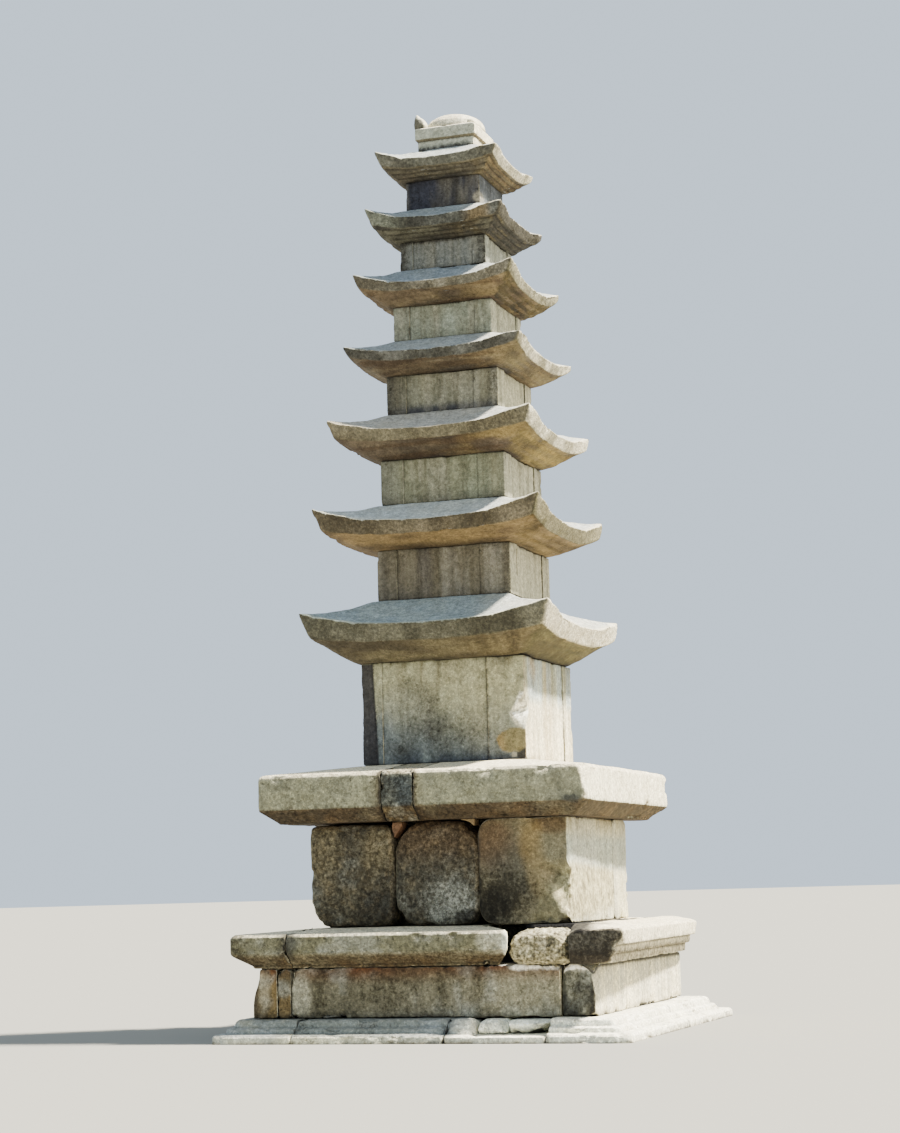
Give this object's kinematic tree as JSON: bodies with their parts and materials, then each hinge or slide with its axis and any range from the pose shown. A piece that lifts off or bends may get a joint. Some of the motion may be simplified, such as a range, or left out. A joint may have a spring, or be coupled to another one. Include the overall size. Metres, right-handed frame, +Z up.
{
  "type": "stone pagoda",
  "caption": "Tall square stone pagoda: stepped plinth, two-tier slab base with overhanging caps, stacked storeys with upturned roofs, and a basin and bowl finial.",
  "frame": {"origin": "on the ground at the centre of the plinth", "axes": "+Z up along the tower; the broad front face looks towards -Y; the corner nearest the camera in the picture is at +X -Y"},
  "size_m": [3.4585, 3.3596, 7.538],
  "materials": {
    "granite_plinth": "weathered blue-grey granite, bleached pale, with worn edges",
    "granite_pale": "pale cream granite with grey rain streaks",
    "granite_grey": "grey-beige granite with lichen spots and dark streaks",
    "granite_ochre": "grey granite with ochre-brown stains, strongest on the undersides",
    "granite_dark": "granite blackened by lichen, mottled brown",
    "rubble": "rough rubble and lime"
  },
  "bodies": {
    "root": {"plinth_left_front_stone": "granite_plinth", "plinth_left_back_stone": "granite_plinth", "plinth_front_left_stone": "granite_plinth", "plinth_right_front_stone": "granite_plinth", "plinth_right_back_stone": "granite_plinth", "plinth_back_stone": "granite_plinth", "plinth_front_broken_stone": "granite_plinth", "plinth_loose_stone_left": "granite_plinth", "plinth_loose_stone_right": "granite_plinth", "rubble_core": "rubble", "lower_base_left_slab": "granite_ochre", "lower_base_corner_filler": "granite_ochre", "lower_base_front_slab": "granite_grey", "lower_base_right_slab": "granite_pale", "lower_base_back_slab": "granite_grey", "lower_cap_left_slab": "granite_grey", "lower_cap_front_slab": "granite_grey", "lower_cap_back_slab": "granite_grey", "lower_cap_rubble_filler": "granite_grey", "lower_cap_right_slab": "granite_pale", "lower_cap_inner_slab": "rubble", "upper_base_front_left_block": "granite_dark", "upper_base_front_middle_block": "granite_dark", "upper_base_front_right_block": "granite_grey", "upper_base_wedge_left": "granite_ochre", "upper_base_wedge_right": "granite_pale", "upper_base_right_back_block": "granite_pale", "upper_base_back_block": "granite_grey", "upper_base_left_block": "granite_grey", "upper_cap_left_slab": "granite_grey", "upper_cap_middle_stone": "granite_dark", "upper_cap_right_slab": "granite_pale", "body_1": "granite_grey", "body_2": "granite_grey", "body_3": "granite_grey", "body_4": "granite_grey", "body_5": "granite_grey", "body_6": "granite_grey", "body_7": "granite_dark", "roof_1": "granite_ochre", "roof_2": "granite_ochre", "roof_3": "granite_ochre", "roof_4": "granite_ochre", "roof_5": "granite_ochre", "roof_6": "granite_ochre", "roof_7": "granite_ochre", "dew_basin": "granite_pale", "inverted_bowl": "granite_pale", "corner_horn": "granite_pale", "corner_horn_stub": "granite_pale"}
  },
  "joints": []
}
